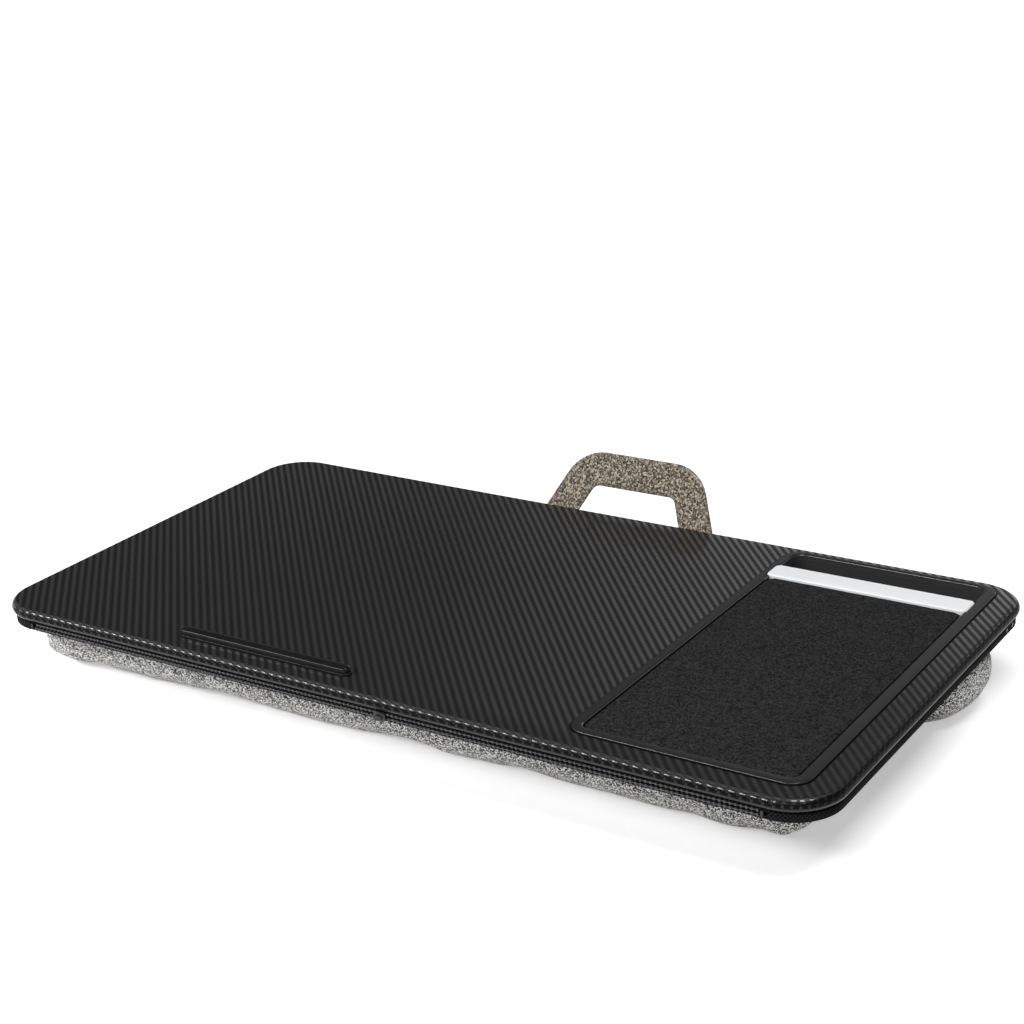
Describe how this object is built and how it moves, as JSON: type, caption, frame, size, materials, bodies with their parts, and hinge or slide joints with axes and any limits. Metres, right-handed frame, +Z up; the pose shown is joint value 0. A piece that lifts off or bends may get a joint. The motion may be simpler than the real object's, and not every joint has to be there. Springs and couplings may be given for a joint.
{
  "type": "lap desk",
  "caption": "Padded lap desk: leather-look board with a device tray, mouse pad, slot and stop ledge, over a zipped storage pocket and two bead-filled bolsters, with a hinged cloth handle.",
  "frame": {"origin": "bottom centre of the desk's bounding box, on the surface that the bolsters rest on", "axes": "+X along the front edge to the right, where the device tray is; +Y to the rear, where the handle is; +Z up"},
  "size_m": [0.56, 0.3292, 0.0843],
  "materials": {
    "leather": "black twill-embossed imitation leather",
    "foam": "thin polyurethane foam",
    "board": "thin fibreboard",
    "lining": "black lining cloth",
    "tray_plastic": "black moulded plastic, fine texture",
    "pad_cloth": "black cloth mouse pad",
    "white_plastic": "white satin plastic",
    "ledge_rubber": "smooth black rubber, slight gloss",
    "woven_tape": "black woven polyester tape",
    "zip_nylon": "black nylon coil",
    "zip_metal": "black enamelled die casting",
    "bolster_cloth": "grey heather knit",
    "beads": "small polystyrene beads",
    "handle_cloth": "beige-grey heather cloth"
  },
  "bodies": {
    "desk": {"leather_cover": "leather", "foam_layer": "foam", "board_core": "board", "underside_lining": "lining", "device_tray": "tray_plastic", "mouse_pad": "pad_cloth", "slot_bar": "white_plastic", "stop_ledge": "ledge_rubber", "side_band": "woven_tape", "zip_tape_upper": "woven_tape", "zip_tape_lower": "woven_tape", "zip_teeth_upper": "zip_nylon", "zip_teeth_lower": "zip_nylon", "zip_stop_left": "zip_metal", "zip_stop_right": "zip_metal", "base_panel": "lining", "centre_web": "lining", "front_bolster_cover": "bolster_cloth", "rear_bolster_cover": "bolster_cloth", "front_bead_fill": "beads", "rear_bead_fill": "beads", "handle_tab_left": "handle_cloth", "handle_tab_right": "handle_cloth"},
    "slider": {"zip_slider": "zip_metal"},
    "handle": {"carry_handle": "handle_cloth"}
  },
  "joints": [
    {"name": "zip_slide", "type": "slide", "parent": "desk", "child": "slider", "axis": [1, 0, 0], "range_m": [-0.2577, 0.2237]},
    {"name": "handle_fold", "type": "hinge", "parent": "desk", "child": "handle", "pos_m": [0, 0.13936, 0.0423], "axis": [1, 0, 0], "range_deg": [-110, 28]}
  ]
}
